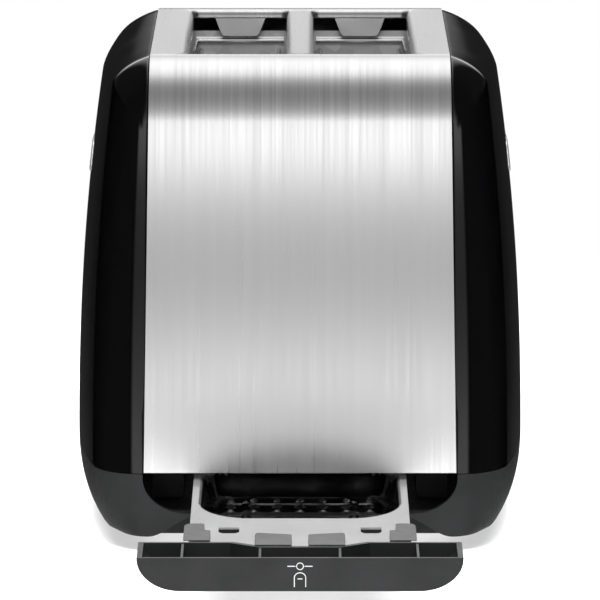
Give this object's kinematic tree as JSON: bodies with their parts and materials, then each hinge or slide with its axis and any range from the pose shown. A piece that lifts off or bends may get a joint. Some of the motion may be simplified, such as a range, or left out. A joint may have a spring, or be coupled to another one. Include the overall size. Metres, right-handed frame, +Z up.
{
  "type": "pop up toaster",
  "caption": "Pop up toaster with a steel saddle cover, black side shells, a lever driven bread carriage and a crumb tray drawn out at one end.",
  "frame": {"origin": "on the table under the middle of the whole, crumb tray drawn out as at rest", "axes": "+Z up, -Y out of the crumb tray end, +Y out of the lever end, +X to the right seen from the tray end"},
  "size_m": [0.1786, 0.4606, 0.1926],
  "materials": {
    "brushed_steel": "fine vertical brushed grain",
    "gloss_black": "high gloss moulded",
    "dark_plastic": "fine moulded grain",
    "grey_plastic": "fine moulded grain",
    "sheet_steel": "galvanised mill finish",
    "mica": "layered mica board",
    "heating_ribbon": "rolled resistance ribbon",
    "bright_wire": "bright drawn wire",
    "rubber": "matt",
    "circuit_board": "solder resist",
    "copper": "enamelled copper winding",
    "pale_plastic": "heat resisting moulding"
  },
  "bodies": {
    "body": {"badge_left": "brushed_steel", "badge_right": "brushed_steel", "base_tub": "dark_plastic", "bottom_plate": "sheet_steel", "browning_pot": "pale_plastic", "chassis_front": "sheet_steel", "chassis_rear": "sheet_steel", "control_board": "circuit_board", "control_fascia": "gloss_black", "cord_inlet": "dark_plastic", "foot_1": "rubber", "foot_2": "rubber", "foot_3": "rubber", "foot_4": "rubber", "guide_rod": "bright_wire", "heat_shield_left": "sheet_steel", "heat_shield_right": "sheet_steel", "heater_card_centre": "mica", "heater_card_left": "mica", "heater_card_right": "mica", "heater_ribbon_centre_left": "heating_ribbon", "heater_ribbon_centre_right": "heating_ribbon", "heater_ribbon_left": "heating_ribbon", "heater_ribbon_right": "heating_ribbon", "magnet_coil_left": "copper", "magnet_coil_right": "copper", "magnet_core": "sheet_steel", "mechanism_shelf": "sheet_steel", "rod_bracket": "sheet_steel", "side_shell_left": "gloss_black", "side_shell_right": "gloss_black", "steel_cover": "brushed_steel", "terminal_block": "pale_plastic", "tray_rail_left": "dark_plastic", "tray_rail_right": "dark_plastic"},
    "tray": {"tray_front": "dark_plastic", "tray_pan": "brushed_steel", "tray_clip_left": "grey_plastic", "tray_clip_right": "grey_plastic", "tray_clip_centre_left": "grey_plastic", "tray_clip_centre_right": "grey_plastic"},
    "carriage": {"carriage_plate": "sheet_steel", "carriage_block": "pale_plastic", "bread_support_left": "sheet_steel", "bread_support_right": "sheet_steel", "lever_arm": "sheet_steel", "lever_knob": "gloss_black", "armature": "brushed_steel", "lift_spring": "bright_wire"},
    "guide_left_outer": {"toast_guide_left_outer": "bright_wire"},
    "guide_left_inner": {"toast_guide_left_inner": "bright_wire"},
    "guide_right_inner": {"toast_guide_right_inner": "bright_wire"},
    "guide_right_outer": {"toast_guide_right_outer": "bright_wire"},
    "dial": {"browning_dial": "gloss_black"},
    "button_1": {"push_button_1": "dark_plastic"},
    "button_2": {"push_button_2": "dark_plastic"},
    "button_3": {"push_button_3": "dark_plastic"},
    "button_4": {"push_button_4": "dark_plastic"}
  },
  "joints": [
    {"name": "tray_slide", "type": "slide", "parent": "body", "child": "tray", "axis": [0, 1, 0], "range_m": [-0.025, 0.183]},
    {"name": "lever_slide", "type": "slide", "parent": "body", "child": "carriage", "axis": [0, 0, 1], "range_m": [-0.076, 0], "stiffness_N_per_m": 45, "springref_m": 0.06, "deforming": ["lift_spring"]},
    {"name": "guide_left_outer_tilt", "type": "hinge", "parent": "body", "child": "guide_left_outer", "pos_m": [-0.0406, 0.0662, 0.052], "axis": [0, 1, 0], "range_deg": [0, 5.1]},
    {"name": "guide_left_inner_tilt", "type": "hinge", "parent": "body", "child": "guide_left_inner", "pos_m": [-0.0086, 0.0662, 0.052], "axis": [0, 1, 0], "range_deg": [-5.1, 0]},
    {"name": "guide_right_inner_tilt", "type": "hinge", "parent": "body", "child": "guide_right_inner", "pos_m": [0.0086, 0.0662, 0.052], "axis": [0, 1, 0], "range_deg": [0, 5.1]},
    {"name": "guide_right_outer_tilt", "type": "hinge", "parent": "body", "child": "guide_right_outer", "pos_m": [0.0406, 0.0662, 0.052], "axis": [0, 1, 0], "range_deg": [-5.1, 0]},
    {"name": "dial_turn", "type": "hinge", "parent": "body", "child": "dial", "pos_m": [0, 0.2127, 0.052], "axis": [0, 1, 0], "range_deg": [-135, 135]},
    {"name": "button_1_press", "type": "slide", "parent": "body", "child": "button_1", "axis": [0, -1, 0], "range_m": [0, 0.0015], "stiffness_N_per_m": 400, "springref_m": -0.002},
    {"name": "button_2_press", "type": "slide", "parent": "body", "child": "button_2", "axis": [0, -1, 0], "range_m": [0, 0.0015], "stiffness_N_per_m": 400, "springref_m": -0.002},
    {"name": "button_3_press", "type": "slide", "parent": "body", "child": "button_3", "axis": [0, -1, 0], "range_m": [0, 0.0015], "stiffness_N_per_m": 400, "springref_m": -0.002},
    {"name": "button_4_press", "type": "slide", "parent": "body", "child": "button_4", "axis": [0, -1, 0], "range_m": [0, 0.0015], "stiffness_N_per_m": 400, "springref_m": -0.002}
  ],
  "couplings": [
    {"joint": "guide_left_outer_tilt", "follows": "lever_slide", "rad_per_m": -1.1482},
    {"joint": "guide_left_inner_tilt", "follows": "lever_slide", "rad_per_m": 1.1482},
    {"joint": "guide_right_inner_tilt", "follows": "lever_slide", "rad_per_m": -1.1482},
    {"joint": "guide_right_outer_tilt", "follows": "lever_slide", "rad_per_m": 1.1482}
  ]
}
